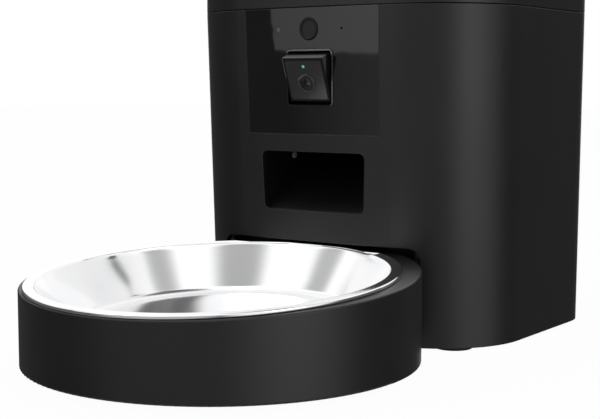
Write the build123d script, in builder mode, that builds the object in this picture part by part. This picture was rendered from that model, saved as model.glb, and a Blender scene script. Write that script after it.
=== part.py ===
from build123d import *
from math import cos, pi, radians, sin, sqrt
import os

# Camera pet feeder: a moulded body with a food tank above and a bowl on a round tray in front.
# Millimetres. X is across, -Y is the front, Z is up, and the floor is z = 0.
# The origin is on the floor, in the middle of the whole length.

# Lower housing
body_width = 189.0
body_depth = 155.0
seam_z = 173.0
edge_z = 1.4
side_taper = 0.0098
front_lean = 0.0338
front_bow = 721.0
front_corner = 50.0
rear_corner = 30.0
wall = 3.0
deck_t = 2.5
deck_lip = 2.0
gap = 0.3
fit = 0.1
running_fit = 0.05

# Bowl tray and bowl
tray_r = 95.0
tray_edge_z = 3.3
tray_top_z = 43.9
tray_slope = 0.06
tray_skirt = 3.0
tray_deck = 3.0
face_gap = 71.8
well_r = tray_r - 10.5
well_wall = 2.5
well_floor_z = 13.5
bowl_back = -5.9
bowl_r = tray_r - 6.0
bowl_mouth_r = bowl_r - 5.6
bowl_floor_r = bowl_r - 22.0
bowl_depth = 21.5
bowl_bend = 7.0
bowl_sheet = 0.8
rim_mouth_h = 2.1
rim_edge_h = 1.6
rim_hem_width = 1.7
rim_round = 0.6
pad_r = 6.0
pad_ring_r = tray_r - 29.0
pad_count = 4
tongue_width = 40.0
tongue_t = 4.0
tongue_reach = 38.0
tongue_clear = 0.5

# Notch for the tray
notch_width = 123.2
notch_clear = 1.2
notch_corner = 6.0
recess_wall = 2.0
recess_clear = 1.0

# Feet and base
foot_r = 10.0
front_foot_x = 70.3
front_foot_y = 28.9
rear_foot_x = 66.0
rear_foot_y = 30.0
base_t = 3.0

# Discharge chute
chute_low_z = 67.9
chute_high_z = 98.8
chute_top_width = 64.6
chute_low_width = 62.4
chute_corner = 3.2
chute_slope = 0.6
chute_wall = 1.8
chute_margin = 1.0
chute_roof_run = 20.0
chute_roof_rise = 13.0
sensor_r = 1.8
sensor_y = 34.0
sensor_z = 95.0

# Glossy front panel and what shows in it
panel_t = 1.6
panel_low_z = 108.0
panel_top_width = 83.4
panel_low_width = 81.2
button_z = 162.1
button_r = 5.6
button_travel = 0.8
button_proud = 0.4
button_flange_r = 6.2
button_flange_t = 1.5
light_x = -19.3
light_r = 1.1
mic_x = 19.9
mic_hole_r = 0.6
mic_r = 2.2
board_t = 1.6
board_y = 10.0
board_width = 54.0
board_height = 9.0

# Camera
window_width = 27.2
window_low_z = 123.2
window_high_z = 150.9
window_corner = 1.5
bezel_t = 0.8
bezel_proud = 0.4
bezel_flange = 1.6
bezel_flange_t = 1.2
head_width = 25.2
head_tilt = 20.3
head_face_gap = 5.5
head_below = 3.0
head_height = 23.8
head_top_r = 21.0
head_back_angle = 36.0
head_edge = 0.5
pivot_y = 6.12
pivot_z = 129.5
pin_r = 1.2
pin_grip = 3.5
cradle_clear = 0.4
cradle_cheek = 2.6
cradle_back_y = 21.0
cradle_flange = 3.2
cradle_flange_t = 2.6
camera_board_width = 22.0
camera_board_height = 20.0
glass_t = 0.8
glass_width = 22.4
glass_height = 21.0
lens_up = 7.2
lens_r = 4.3
lens_bore_r = 3.1
lens_glass_r = 2.6
lens_depth = 6.0
led_up = 16.2
led_r = 0.8

# Metering rotor
rotor_y = 78.2
cup_r = 52.0
cup_wall = 2.0
cup_floor_z = 132.0
cup_floor_t = 2.5
cup_flange_r = 57.0
cup_flange_t = 1.5
ledge_z = 155.5
ledge_t = 3.0
ledge_width = 1.5
cover_t = 2.0
outlet_width = 60.0
outlet_inner_r = 26.0
outlet_outer_r = 46.5
hub_r = 11.0
fin_count = 6
fin_t = 2.4
fin_r = 38.0
fin_height = 20.0
paddle_r = 48.0
paddle_t = 1.6
paddle_lap = 6.0
shaft_r = 3.0
bush_r = 5.5
agitator_height = 30.0
agitator_hub_r = 6.0
agitator_arm_r = 22.0
agitator_arm_t = 4.0

# Drive
gear_module = 1.25
drive_teeth = 32
pinion_teeth = 12
gear_backlash = 0.25
gear_t = 8.0
gear_low_z = 117.0
bracket_z = 112.0
bracket_t = 2.5
bracket_post_r = 3.5
bracket_post_x = 28.0
bracket_front_y = 15.0
bracket_back_y = 40.0
motor_r = 12.5
motor_length = 46.0
motor_shaft_r = 1.5

# Hopper, tank and lid
hopper_wall = 2.5
hopper_top_z = 297.0
seam_gap = 0.5
hopper_floor_t = 2.5
tank_gap = 0.6
tank_wall = 1.8
tank_flange_t = 2.0
tank_flange_inset = 1.4
throat_r = 28.5
throat_low_z = 159.5
funnel_z = 178.0
funnel_top_z = 230.0
funnel_slope = 0.65
lid_t = 12.0
lid_edge = 5.0
lid_skin = 2.5
plug_depth = 6.0
plug_wall = 2.0
plug_clear = 1.6
seal_t = 1.3
seal_height = 2.6
knuckle_r = 4.0
knuckle_reach = 4.5
knuckle_width = 14.0
lid_knuckle_width = 39.4
hinge_pin_r = 1.5
cup_dry_r = 30.0
cup_dry_wall = 2.0
cup_dry_depth = 24.0
dry_cover_t = 2.0
dry_pack_t = 12.0
dry_slot_count = 8

# Rear cover and what is behind it
cover_width = 112.0
cover_top_z = 162.0
cover_lap = 6.0
cover_lap_t = 1.5
door_width = 106.4
door_low_z = 6.8
door_high_z = 42.8
door_t = 2.5
door_clear = 0.3
door_pull_length = 26.0
door_pull_height = 8.0
cell_r = 16.6
cell_length = 61.0
cell_count = 3
cell_pitch = 35.0
bay_wall = 1.5
contact_t = 0.6
contact_width = 16.0
inlet_x = -40.0
inlet_z = 62.0
inlet_r = 4.2
inlet_bore_r = 2.8
inlet_length = 14.0
speaker_r = 18.0
speaker_t = 8.0
speaker_z = 108.0
slot_count = 7
slot_pitch = 4.4
slot_width = 1.8
slot_length = 20.0
standoff_r = 2.5
standoff_length = 8.0
main_board_x = 14.0
main_board_z = 68.0
main_board_width = 62.0
main_board_height = 40.0

# Fasteners
screw_r = 1.5
screw_head_r = 2.9
screw_head_t = 1.5
screw_length = 12.0
boss_r = 5.0
boss_height = 24.0
base_screw_front_y = 55.0
base_screw_back_y = 40.0
rear_screw_margin = 18.0
rear_screw_length = 6.0
rear_boss_r = 2.8

# Places worked out from the sizes above
overall_length = tray_r + face_gap + body_depth + knuckle_reach + knuckle_r
tray_y = tray_r - overall_length / 2
face_y = tray_y + face_gap
back_y = face_y + body_depth
notch_top_z = tray_top_z + tray_slope * (bowl_back + bowl_mouth_r) + rim_mouth_h + notch_clear
recess_back_y = tray_y + tray_r + recess_clear
deck_top_z = seam_z - deck_lip
deck_low_z = deck_top_z - deck_t
rotor_axis_y = face_y + rotor_y
cup_inner_r = cup_r - cup_wall
cup_top_z = cup_floor_z + cup_floor_t
rotor_low_z = cup_top_z + gap
rotor_top_z = rotor_low_z + fin_height
hopper_floor_z = deck_top_z + cup_flange_t + gap
hopper_floor_top_z = hopper_floor_z + hopper_floor_t
lid_z = hopper_top_z + gap
hinge_y = back_y + knuckle_reach
drive_pitch_r = gear_module * drive_teeth / 2
pinion_pitch_r = gear_module * pinion_teeth / 2
pinion_y = rotor_axis_y + drive_pitch_r + pinion_pitch_r
tank_inset = hopper_wall + tank_gap


def front_y(z):
    """Middle of the leaning front face at a height."""
    return face_y + front_lean * max(seam_z - z, 0)


def facing(y):
    """Upright plane that faces the front, with its origin on the middle line at height zero."""
    return Plane(origin=(0, y, 0), x_dir=(1, 0, 0), z_dir=(0, -1, 0))


def plan(z, inset=0.0):
    """Outline of the body at a height: bowed front, straight sides, round corners."""
    drop = max(seam_z - z, 0)
    half = body_width / 2 - side_taper * drop - inset
    front = face_y + front_lean * drop + inset
    bow = front_bow - inset
    side_front = front + bow - sqrt(bow**2 - half**2)
    rear = back_y - inset
    with BuildSketch(Plane.XY.offset(z)) as outline:
        with BuildLine():
            ThreePointArc((-half, side_front), (0, front), (half, side_front))
            Polyline((half, side_front), (half, rear), (-half, rear), (-half, side_front))
        make_face()
        fillet(outline.vertices().sort_by(Axis.Y)[:2], front_corner - inset)
        fillet(outline.vertices().sort_by(Axis.Y)[-2:], rear_corner - inset)
    return outline.sketch.face()


def body_form(low_z, high_z, inset=0.0):
    """Solid of the body's outer form between two heights, drawn in by an inset."""
    with BuildPart() as form:
        loft([plan(low_z, inset), plan(high_z, inset)], ruled=True)
    return form.part


def trapezoid(low_z, high_z, low_width, high_width):
    """Corner points of an upright shape that narrows downwards."""
    return [
        (-low_width / 2, low_z),
        (low_width / 2, low_z),
        (high_width / 2, high_z),
        (-high_width / 2, high_z),
    ]


def panel_blank(margin=0.0):
    """The slice of the body's front skin that the glossy panel fills."""
    points = trapezoid(
        panel_low_z + margin, seam_z, panel_low_width - 2 * margin, panel_top_width - 2 * margin
    )
    with BuildPart() as blank:
        add(body_form(panel_low_z - wall, seam_z))
        add(body_form(panel_low_z - wall, seam_z, panel_t), mode=Mode.SUBTRACT)
        with BuildSketch(facing(face_y - wall)):
            with BuildLine():
                Polyline(*points, close=True)
            make_face()
        extrude(amount=-4 * wall, mode=Mode.INTERSECT)
    return blank.part


def window_block(width, low_z, high_z, corner, front, back):
    """Rounded square prism along Y, between two places."""
    with BuildPart() as block:
        with BuildSketch(facing(front)):
            with Locations((0, (low_z + high_z) / 2)):
                RectangleRounded(width, high_z - low_z, corner)
        extrude(amount=front - back)
    return block.part


def rod_y(x, z, radius, front, back):
    """Round bar along Y, between two places."""
    with BuildPart() as bar:
        with BuildSketch(facing(front)):
            with Locations((x, z)):
                Circle(radius)
        extrude(amount=front - back)
    return bar.part


def rod_z(x, y, radius, low, high):
    """Round bar along Z, between two heights."""
    with BuildPart() as bar:
        with BuildSketch(Plane.XY.offset(low)):
            with Locations((x, y)):
                Circle(radius)
        extrude(amount=high - low)
    return bar.part


def box_between(x0, x1, y0, y1, z0, z1):
    """Square block between two corners."""
    with BuildPart() as block:
        with BuildSketch(Plane.XY.offset(z0)):
            with Locations(((x0 + x1) / 2, (y0 + y1) / 2)):
                Rectangle(x1 - x0, y1 - y0)
        extrude(amount=z1 - z0)
    return block.part


def finish(piece, name):
    """Name a piece and write it."""
    piece.part.label = name
    export_step(piece.part, f"parts/{name}.step")


os.makedirs("parts", exist_ok=True)

# Fastener places: four under the base, four round the rear cover
base_screw_x = body_width / 2 - side_taper * seam_z - wall - boss_r + 1
base_screws = [
    (side * base_screw_x, y)
    for side in (-1, 1)
    for y in (face_y + base_screw_front_y, back_y - base_screw_back_y)
]
rear_screw_x = cover_width / 2 + cover_lap / 2
rear_screws = [
    (side * rear_screw_x, z)
    for side in (-1, 1)
    for z in (door_high_z + rear_screw_margin, cover_top_z - rear_screw_margin)
]

# Posts of the gear bracket under the rotor chamber
posts = [
    (side * bracket_post_x, rotor_axis_y + y)
    for side in (-1, 1)
    for y in (-bracket_front_y, bracket_back_y)
]

# Lower housing
with BuildPart() as lower_housing:
    add(body_form(edge_z, seam_z))
    add(body_form(edge_z - 1, deck_low_z, wall), mode=Mode.SUBTRACT)
    add(body_form(deck_top_z, seam_z, wall), mode=Mode.SUBTRACT)
    add(rod_z(0, rotor_axis_y, cup_r + 2 * fit, deck_low_z - 1, deck_top_z + 1), mode=Mode.SUBTRACT)
    with BuildSketch(facing(face_y - wall)) as notch_mouth:
        with Locations((0, notch_top_z / 2 - notch_corner)):
            RectangleRounded(notch_width, notch_top_z + 2 * notch_corner, notch_corner)
    extrude(amount=-(front_y(edge_z) - face_y + 2 * wall + 2), mode=Mode.SUBTRACT)
    with BuildSketch(facing(face_y - wall)) as chute_mouth:
        with BuildLine():
            Polyline(*trapezoid(chute_low_z, chute_high_z, chute_low_width, chute_top_width), close=True)
        make_face()
        fillet(chute_mouth.vertices(), chute_corner)
    extrude(amount=-5 * wall, mode=Mode.SUBTRACT)
    add(panel_blank(), mode=Mode.SUBTRACT)
    cradle_half = window_width / 2 + cradle_clear + cradle_cheek
    add(
        window_block(
            2 * (cradle_half + cradle_clear),
            window_low_z - 2.5,
            window_high_z + 2.5,
            window_corner,
            face_y - wall,
            face_y + 4 * wall,
        ),
        mode=Mode.SUBTRACT,
    )
    for place_x, hole_r in ((0, button_r + 2 * fit), (light_x, light_r + fit), (mic_x, mic_hole_r)):
        add(rod_y(place_x, button_z, hole_r, face_y - wall, face_y + 3 * wall), mode=Mode.SUBTRACT)
    add(
        window_block(cover_width, -cover_top_z, cover_top_z, 4, back_y - wall - 1, back_y + 1),
        mode=Mode.SUBTRACT,
    )
    for side in (-1, 1):
        add(rod_y(side * 12.5, button_z, 2.2, front_y(button_z) + panel_t + 0.6, face_y + board_y))
    for place_x, place_y in base_screws:
        add(rod_z(place_x, place_y, boss_r, edge_z + base_t, edge_z + base_t + boss_height))
        add(
            rod_z(place_x, place_y, screw_r, edge_z, edge_z + base_t + screw_length),
            mode=Mode.SUBTRACT,
        )
    for place_x, place_z in rear_screws:
        add(rod_y(place_x, place_z, screw_r + fit, back_y - wall - 1, back_y + 1), mode=Mode.SUBTRACT)
        add(
            rod_y(place_x, place_z, screw_head_r + fit, back_y - screw_head_t, back_y + 1),
            mode=Mode.SUBTRACT,
        )
finish(lower_housing, "lower_housing")

# Liner of the notch, seated on the base plate and against the inside of the front wall
with BuildPart() as bowl_recess:
    with BuildSketch(facing(face_y)):
        with Locations((0, notch_top_z / 2 - notch_corner)):
            RectangleRounded(
                notch_width + 2 * recess_wall,
                notch_top_z + 2 * notch_corner + 2 * recess_wall,
                notch_corner + recess_wall,
            )
    extrude(amount=-(recess_back_y + recess_wall - face_y))
    with BuildSketch(facing(face_y - 1)):
        with Locations((0, notch_top_z / 2 - notch_corner)):
            RectangleRounded(notch_width, notch_top_z + 2 * notch_corner, notch_corner)
    extrude(amount=-(recess_back_y - face_y + 1), mode=Mode.SUBTRACT)
    add(body_form(edge_z + base_t, deck_low_z, wall + fit), mode=Mode.INTERSECT)
finish(bowl_recess, "bowl_recess")

# Base plate with the tongue that guides the tray
with BuildPart() as base_plate:
    add(body_form(edge_z, edge_z + base_t, wall + fit))
    add(
        box_between(-notch_width / 2, notch_width / 2, face_y - wall, recess_back_y, 0, 2 * base_t),
        mode=Mode.SUBTRACT,
    )
    add(
        box_between(
            -tongue_width / 2,
            tongue_width / 2,
            recess_back_y - tongue_reach,
            recess_back_y,
            edge_z + base_t,
            edge_z + base_t + tongue_t,
        )
    )
    add(
        box_between(
            -tongue_width / 2,
            tongue_width / 2,
            recess_back_y - tongue_t,
            recess_back_y,
            edge_z,
            edge_z + base_t,
        )
    )
    for place_x, place_y in base_screws:
        add(rod_z(place_x, place_y, screw_r + fit, 0, edge_z + base_t), mode=Mode.SUBTRACT)
        add(rod_z(place_x, place_y, screw_head_r + fit, 0, edge_z + screw_head_t), mode=Mode.SUBTRACT)
finish(base_plate, "base_plate")

# Rubber feet
with BuildPart() as rubber_feet:
    for side in (-1, 1):
        for place_x, place_y in (
            (front_foot_x, face_y + front_foot_y),
            (rear_foot_x, back_y - rear_foot_y),
        ):
            add(rod_z(side * place_x, place_y, foot_r, 0, edge_z))
    chamfer(rubber_feet.edges().group_by(Axis.Z)[0], edge_z / 3)
finish(rubber_feet, "rubber_feet")

# Glossy panel
with BuildPart() as front_panel:
    add(panel_blank(fit))
    add(
        window_block(
            window_width + 2 * bezel_t + 2 * fit,
            window_low_z - bezel_t - 2 * fit,
            window_high_z + bezel_t + 2 * fit,
            window_corner + bezel_t,
            face_y - wall,
            face_y + 3 * wall,
        ),
        mode=Mode.SUBTRACT,
    )
    for place_x, hole_r in ((0, button_r + 2 * fit), (light_x, light_r), (mic_x, mic_hole_r)):
        add(rod_y(place_x, button_z, hole_r, face_y - wall, face_y + 3 * wall), mode=Mode.SUBTRACT)
finish(front_panel, "front_panel")

# Feed button, held behind the wall by its flange
button_front_y = front_y(button_z) - button_proud
button_flange_y = front_y(button_z) + wall + gap
with BuildPart() as feed_button:
    add(rod_y(0, button_z, button_r, button_front_y, button_flange_y))
    chamfer(feed_button.edges().group_by(Axis.Y)[0], 0.3)
    add(rod_y(0, button_z, button_r - 1.1, button_front_y, button_front_y + 0.5), mode=Mode.SUBTRACT)
    add(rod_y(0, button_z, button_flange_r, button_flange_y, button_flange_y + button_flange_t))
    add(rod_y(0, button_z, 2.0, button_flange_y, button_flange_y + 2 * button_flange_t))
finish(feed_button, "feed_button")

# Light pipe, microphone capsule and the small board that carries them with the button's switch
board_front_y = face_y + board_y
with BuildPart() as indicator_window:
    add(rod_y(light_x, button_z, light_r, front_y(button_z) + 0.2, board_front_y))
finish(indicator_window, "indicator_window")

with BuildPart() as microphone:
    add(rod_y(mic_x, button_z, mic_r, front_y(button_z) + wall + 2 * gap, board_front_y))
finish(microphone, "microphone")

with BuildPart() as button_board:
    with BuildSketch(facing(board_front_y)):
        with Locations((0, button_z)):
            RectangleRounded(board_width, board_height, 1)
    extrude(amount=-board_t)
finish(button_board, "button_board")

with BuildPart() as button_switch:
    switch_front_y = button_flange_y + 2 * button_flange_t + button_travel + gap
    add(rod_y(0, button_z, 1.5, switch_front_y, board_front_y))
    add(rod_y(0, button_z, 3.0, (switch_front_y + board_front_y) / 2, board_front_y))
finish(button_switch, "button_switch")

# Camera bezel: a thin frame proud of the panel, with a flange behind it
bezel_plane = Plane(
    origin=(0, front_y((window_low_z + window_high_z) / 2), (window_low_z + window_high_z) / 2),
    x_dir=(1, 0, 0),
    z_dir=(0, -1, -front_lean),
)
window_height = window_high_z - window_low_z
with BuildPart() as camera_bezel:
    with BuildSketch(bezel_plane.offset(bezel_proud)):
        RectangleRounded(window_width + 2 * bezel_t, window_height + 2 * bezel_t, window_corner + bezel_t)
    extrude(amount=-(bezel_proud + panel_t + gap))
    with BuildSketch(bezel_plane.offset(-panel_t - gap)):
        RectangleRounded(
            window_width + 2 * bezel_flange, window_height + 2 * bezel_flange, window_corner + bezel_t
        )
    extrude(amount=-bezel_flange_t)
    with BuildSketch(bezel_plane.offset(2 * bezel_proud)):
        RectangleRounded(window_width, window_height, window_corner)
    extrude(amount=-4 * wall, mode=Mode.SUBTRACT)
finish(camera_bezel, "camera_bezel")

# Camera head, drawn in its own frame: forward out of the face, up along the face, from the pivot
tilt = radians(head_tilt)
pivot = (0, face_y + pivot_y, pivot_z)
forward = (0, -cos(tilt), -sin(tilt))
head_plane = Plane(origin=pivot, x_dir=forward, z_dir=(-1, 0, 0))
face_plane = Plane(
    origin=(0, pivot[1] + head_face_gap * forward[1], pivot[2] + head_face_gap * forward[2]),
    x_dir=(1, 0, 0),
    z_dir=forward,
)
head_up = head_height - head_below
brow = radians(9.0)
back_turn = radians(head_back_angle)
with BuildPart() as camera_head:
    with BuildSketch(head_plane) as head_side:
        with BuildLine():
            brow_point = (head_top_r * sin(brow), head_top_r * cos(brow))
            heel_point = (-head_top_r * sin(back_turn), head_top_r * cos(back_turn))
            Polyline(
                heel_point,
                (-8, -head_below),
                (head_face_gap, -head_below),
                (head_face_gap, head_up),
                brow_point,
            )
            ThreePointArc(
                brow_point,
                (-head_top_r * sin((back_turn - brow) / 2), head_top_r * cos((back_turn - brow) / 2)),
                heel_point,
            )
        make_face()
    extrude(amount=head_width / 2, both=True)
    head_face = camera_head.faces().sort_by(Axis(pivot, forward))[-1]
    chamfer(head_face.edges(), head_edge)
    with BuildSketch(face_plane):
        with Locations((0, head_up - head_height / 2)):
            RectangleRounded(glass_width + fit, glass_height + fit, 1)
    extrude(amount=-glass_t, mode=Mode.SUBTRACT)
    with BuildSketch(face_plane):
        with Locations((0, lens_up)):
            Circle(lens_r)
    extrude(amount=-lens_depth, mode=Mode.SUBTRACT)
    with BuildSketch(face_plane):
        with Locations((0, led_up)):
            Circle(led_r)
    extrude(amount=-2 * glass_t, mode=Mode.SUBTRACT)
    for side in (-1, 1):
        with BuildSketch(Plane.YZ.offset(side * (head_width / 2 - pin_grip))):
            with Locations((pivot[1], pivot[2])):
                Circle(pin_r)
        extrude(amount=side * (pin_grip + 1), mode=Mode.SUBTRACT)
finish(camera_head, "camera_head")

with BuildPart() as camera_glass:
    with BuildSketch(face_plane.offset(-glass_t)):
        with Locations((0, head_up - head_height / 2)):
            RectangleRounded(glass_width, glass_height, 1)
        with Locations((0, lens_up)):
            Circle(lens_r + fit, mode=Mode.SUBTRACT)
        with Locations((0, led_up)):
            Circle(led_r, mode=Mode.SUBTRACT)
    extrude(amount=glass_t - fit)
finish(camera_glass, "camera_glass")

with BuildPart() as lens_barrel:
    with BuildSketch(face_plane.offset(-lens_depth)):
        with Locations((0, lens_up)):
            Circle(lens_r)
    extrude(amount=lens_depth + 0.2)
    with BuildSketch(face_plane.offset(1)):
        with Locations((0, lens_up)):
            Circle(lens_bore_r + 0.6)
    extrude(amount=-1.6, mode=Mode.SUBTRACT)
    with BuildSketch(face_plane.offset(-0.6)):
        with Locations((0, lens_up)):
            Circle(lens_bore_r)
    extrude(amount=-1.2, mode=Mode.SUBTRACT)
    with BuildSketch(face_plane.offset(-1.8)):
        with Locations((0, lens_up)):
            Circle(lens_glass_r)
    extrude(amount=-1.2, mode=Mode.SUBTRACT)
finish(lens_barrel, "lens_barrel")

with BuildPart() as lens_element:
    with BuildSketch(face_plane.offset(-3.0)):
        with Locations((0, lens_up)):
            Circle(lens_glass_r)
    extrude(amount=1.8)
    fillet(lens_element.edges().sort_by(Axis(pivot, forward))[-1], 1.2)
finish(lens_element, "lens_element")

with BuildPart() as status_led:
    with BuildSketch(face_plane.offset(-2 * glass_t)):
        with Locations((0, led_up)):
            Circle(led_r)
    extrude(amount=2 * glass_t)
finish(status_led, "status_led")

# Pivot pins: tight in the head, free in the cradle
cheek_inner_x = window_width / 2 + cradle_clear
cheek_outer_x = cheek_inner_x + cradle_cheek
with BuildPart() as camera_pins:
    for side in (-1, 1):
        with BuildSketch(Plane.YZ.offset(side * (head_width / 2 - pin_grip))):
            with Locations((pivot[1], pivot[2])):
                Circle(pin_r)
        extrude(amount=side * (cheek_outer_x - head_width / 2 + pin_grip))
finish(camera_pins, "camera_pins")

# Cradle of the head: a flange behind the wall, two cheeks and a back
cradle_low_z = window_low_z - 1.5
cradle_high_z = window_high_z + 1.5
cheek_front_y = front_y(window_low_z) + panel_t + bezel_flange_t + 0.4
with BuildPart() as camera_cradle:
    add(
        box_between(
            -cheek_outer_x - cradle_flange,
            cheek_outer_x + cradle_flange,
            face_y,
            front_y(pivot_z) + wall + cradle_flange_t,
            cradle_low_z - cradle_flange,
            cradle_high_z + cradle_flange,
        )
    )
    add(body_form(panel_low_z, deck_low_z, wall + fit), mode=Mode.INTERSECT)
    add(
        box_between(
            -cheek_outer_x, cheek_outer_x, cheek_front_y, face_y + cradle_back_y, cradle_low_z, cradle_high_z
        )
    )
    add(
        box_between(
            -cheek_inner_x,
            cheek_inner_x,
            face_y - 1,
            face_y + cradle_back_y - 2,
            cradle_low_z - cradle_flange - 1,
            cradle_high_z + cradle_flange + 1,
        ),
        mode=Mode.SUBTRACT,
    )
    with BuildSketch(Plane.YZ):
        with Locations((pivot[1], pivot[2])):
            Circle(pin_r + running_fit)
    extrude(amount=2 * cheek_outer_x, both=True, mode=Mode.SUBTRACT)
finish(camera_cradle, "camera_cradle")

with BuildPart() as camera_board:
    with BuildSketch(facing(face_y + cradle_back_y)):
        with Locations((0, pivot_z + 6)):
            RectangleRounded(camera_board_width, camera_board_height, 1)
    extrude(amount=-board_t)
finish(camera_board, "camera_board")

# Discharge chute: the ramp, side walls and roof of the way from the rotor to the mouth
chute_front_y = front_y(chute_low_z) + wall
chute_front_top_y = front_y(chute_high_z) + wall
slot_front_y = rotor_axis_y - outlet_outer_r
slot_back_y = rotor_axis_y - outlet_inner_r
chute_back_y = slot_back_y + chute_margin
ramp_back_z = chute_low_z + chute_slope * (chute_back_y - chute_front_y)
shaft_front_y = slot_front_y - chute_margin
roof_y = chute_front_top_y + chute_roof_run
roof_z = chute_high_z + chute_roof_rise
lead = 2 * wall
with BuildPart() as discharge_chute:
    with BuildSketch(Plane.YZ) as chute_outer:
        with BuildLine():
            Polyline(
                (chute_front_y - lead, chute_low_z - chute_wall - chute_slope * lead),
                (chute_back_y + chute_wall, ramp_back_z - chute_wall),
                (chute_back_y + chute_wall, cup_floor_z),
                (shaft_front_y - chute_wall, cup_floor_z),
                (roof_y - chute_wall / 2, roof_z + chute_wall),
                (chute_front_top_y - lead, chute_high_z + chute_wall),
                close=True,
            )
        make_face()
    extrude(amount=chute_top_width / 2 + chute_margin + chute_wall, both=True)
    with BuildSketch(Plane.YZ) as chute_inner:
        with BuildLine():
            Polyline(
                (chute_front_y - lead, chute_low_z - chute_slope * lead),
                (chute_back_y, ramp_back_z),
                (chute_back_y, cup_floor_z + 1),
                (shaft_front_y, cup_floor_z + 1),
                (roof_y, roof_z),
                (chute_front_top_y, chute_high_z),
                (chute_front_top_y - lead, chute_high_z),
                close=True,
            )
        make_face()
    extrude(amount=chute_top_width / 2 + chute_margin, both=True, mode=Mode.SUBTRACT)
    add(body_form(edge_z, deck_low_z, wall + fit), mode=Mode.INTERSECT)
    with BuildSketch(Plane.YZ):
        with Locations((face_y + sensor_y, sensor_z)):
            Circle(sensor_r)
    extrude(amount=chute_top_width, both=True, mode=Mode.SUBTRACT)
finish(discharge_chute, "discharge_chute")

# Infrared pair in the side walls of the chute
with BuildPart() as chute_sensors:
    for side in (-1, 1):
        with BuildSketch(Plane.YZ.offset(side * (chute_top_width / 2 + chute_margin - 0.6))):
            with Locations((face_y + sensor_y, sensor_z)):
                Circle(sensor_r)
        extrude(amount=side * 6)
finish(chute_sensors, "chute_sensors")

# Rotor chamber: a cup that drops through the deck and rests on it by its flange
with BuildPart() as rotor_chamber:
    add(rod_z(0, rotor_axis_y, cup_r, cup_floor_z, deck_top_z + cup_flange_t))
    add(rod_z(0, rotor_axis_y, cup_flange_r, deck_top_z, deck_top_z + cup_flange_t))
    add(
        rod_z(0, rotor_axis_y, cup_inner_r, cup_top_z, ledge_z - ledge_width),
        mode=Mode.SUBTRACT,
    )
    add(
        rod_z(0, rotor_axis_y, cup_inner_r - ledge_width, cup_top_z, ledge_z + ledge_t),
        mode=Mode.SUBTRACT,
    )
    add(
        rod_z(0, rotor_axis_y, cup_inner_r, ledge_z + ledge_t, deck_top_z + 2 * cup_flange_t),
        mode=Mode.SUBTRACT,
    )
    add(
        box_between(
            -outlet_width / 2, outlet_width / 2, slot_front_y, slot_back_y, cup_floor_z - 1, cup_top_z + 1
        ),
        mode=Mode.SUBTRACT,
    )
    add(rod_z(0, rotor_axis_y, bush_r, cup_floor_z - 1, cup_top_z + 1), mode=Mode.SUBTRACT)
    for place_x, place_y in posts:
        add(
            rod_z(place_x, place_y, screw_r, cup_floor_z - 1, cup_floor_z + cup_floor_t / 2),
            mode=Mode.SUBTRACT,
        )
finish(rotor_chamber, "rotor_chamber")

with BuildPart() as rotor_bush:
    add(rod_z(0, rotor_axis_y, bush_r, cup_floor_z, cup_top_z))
    add(rod_z(0, rotor_axis_y, shaft_r + running_fit, cup_floor_z - 1, cup_top_z + 1), mode=Mode.SUBTRACT)
finish(rotor_bush, "rotor_bush")

# Cover of the chamber, which hides the outlet from the food above
with BuildPart() as chamber_cover:
    add(rod_z(0, rotor_axis_y, cup_inner_r - fit, ledge_z + ledge_t, ledge_z + ledge_t + cover_t))
    add(
        rod_z(0, rotor_axis_y, throat_r + tank_wall + 2 * gap, ledge_z, ledge_z + ledge_t + 2 * cover_t),
        mode=Mode.SUBTRACT,
    )
finish(chamber_cover, "chamber_cover")

# Metering rotor: a hub with stiff fins that carry soft paddles
fin_turn = 360 / fin_count
with BuildPart() as metering_rotor:
    add(rod_z(0, rotor_axis_y, hub_r, rotor_low_z, rotor_top_z))
    with BuildSketch(Plane.XY.offset(rotor_low_z)):
        with Locations((0, rotor_axis_y)):
            with PolarLocations(hub_r / 2 + fin_r / 2, fin_count):
                Rectangle(fin_r - hub_r + 2, fin_t)
    extrude(amount=fin_height)
    with BuildSketch(Plane.XY.offset(rotor_low_z)):
        with Locations((0, rotor_axis_y)):
            with PolarLocations(fin_r, fin_count):
                Rectangle(2 * paddle_lap, paddle_t)
    extrude(amount=fin_height, mode=Mode.SUBTRACT)
    add(rod_z(0, rotor_axis_y, shaft_r, rotor_low_z - 1, rotor_top_z + 1), mode=Mode.SUBTRACT)
finish(metering_rotor, "metering_rotor")

with BuildPart() as rotor_paddles:
    paddle_length = paddle_r - fin_r + paddle_lap
    with BuildSketch(Plane.XY.offset(rotor_low_z)):
        with Locations((0, rotor_axis_y)):
            with PolarLocations(paddle_r - paddle_length / 2, fin_count):
                Rectangle(paddle_length, paddle_t)
    extrude(amount=fin_height)
finish(rotor_paddles, "rotor_paddles")

with BuildPart() as rotor_shaft:
    add(rod_z(0, rotor_axis_y, shaft_r, bracket_z + bracket_t / 2, rotor_top_z + agitator_height / 2))
finish(rotor_shaft, "rotor_shaft")

# Agitator in the throat of the tank
with BuildPart() as agitator:
    add(rod_z(0, rotor_axis_y, agitator_hub_r, rotor_top_z, rotor_top_z + agitator_height))
    fillet(agitator.edges().group_by(Axis.Z)[-1], agitator_hub_r * 0.6)
    with BuildSketch(Plane.XY.offset(rotor_top_z + agitator_height / 3)):
        with Locations((0, rotor_axis_y)):
            SlotOverall(2 * agitator_arm_r, agitator_arm_t, rotation=30)
    extrude(amount=agitator_arm_t)
    with BuildSketch(Plane.XY.offset(rotor_top_z + agitator_height * 2 / 3)):
        with Locations((0, rotor_axis_y)):
            SlotOverall(2 * agitator_arm_r, agitator_arm_t, rotation=120)
    extrude(amount=agitator_arm_t)
    add(
        rod_z(0, rotor_axis_y, shaft_r, rotor_top_z - 1, rotor_top_z + agitator_height / 2),
        mode=Mode.SUBTRACT,
    )
finish(agitator, "agitator")


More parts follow.
